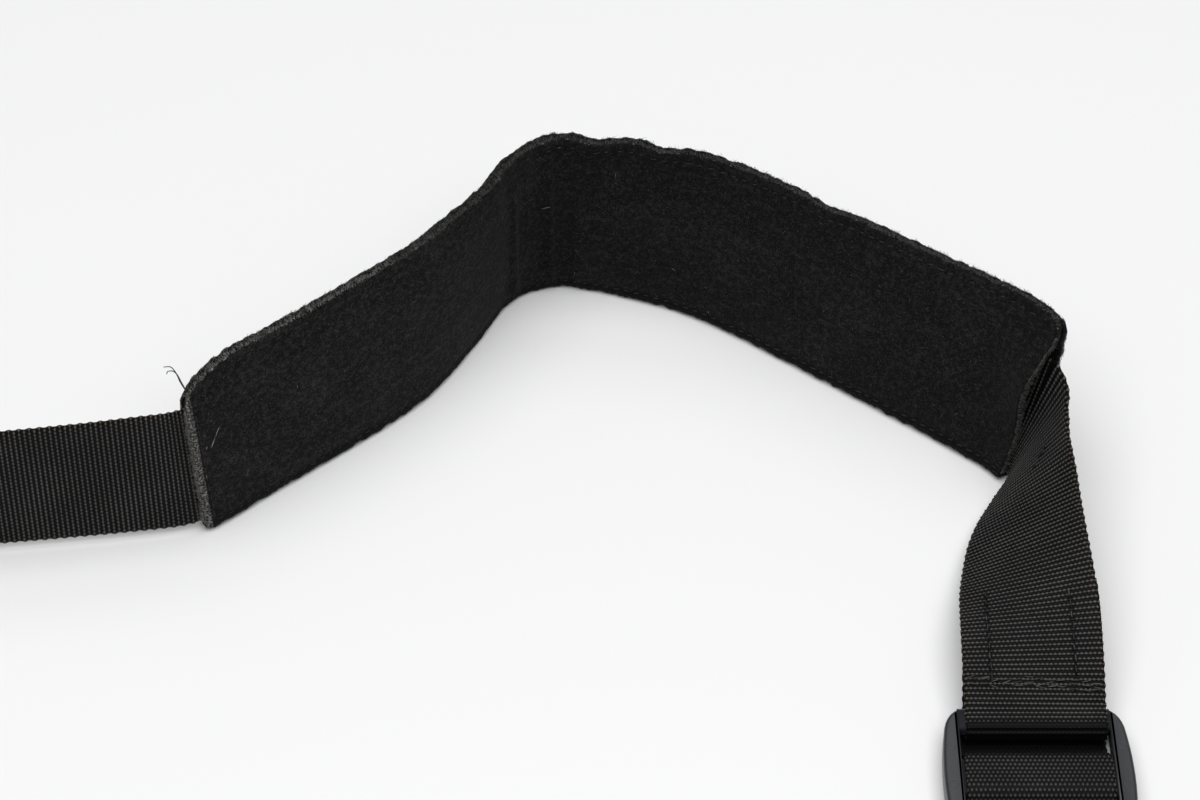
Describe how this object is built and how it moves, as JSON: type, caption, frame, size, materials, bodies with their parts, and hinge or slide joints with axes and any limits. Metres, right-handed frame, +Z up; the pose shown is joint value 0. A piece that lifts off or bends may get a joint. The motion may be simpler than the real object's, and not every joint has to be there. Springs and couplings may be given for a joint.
{
  "type": "camera neck strap",
  "caption": "Camera neck strap standing in an arch: padded neck band of napped cloth on flat woven webbing, its end twisted and sewn round a moulded slider.",
  "frame": {"origin": "centre of the strap's bounding box seen from above, on the surface that it stands on", "axes": "+X along the arch towards the slider, +Y to the outside of the bend, +Z up"},
  "size_m": [0.307, 0.2374, 0.0526],
  "materials": {
    "napped_cloth": "matte napped",
    "strap_webbing": "woven, low sheen",
    "camera_webbing": "fine woven, low sheen",
    "slider_plastic": "moulded, worn semi-gloss"
  },
  "bodies": {
    "root": {"pad_inner_layer": "napped_cloth", "pad_outer_layer": "napped_cloth", "strap_webbing": "strap_webbing", "camera_webbing": "camera_webbing", "slider": "slider_plastic"}
  },
  "joints": []
}
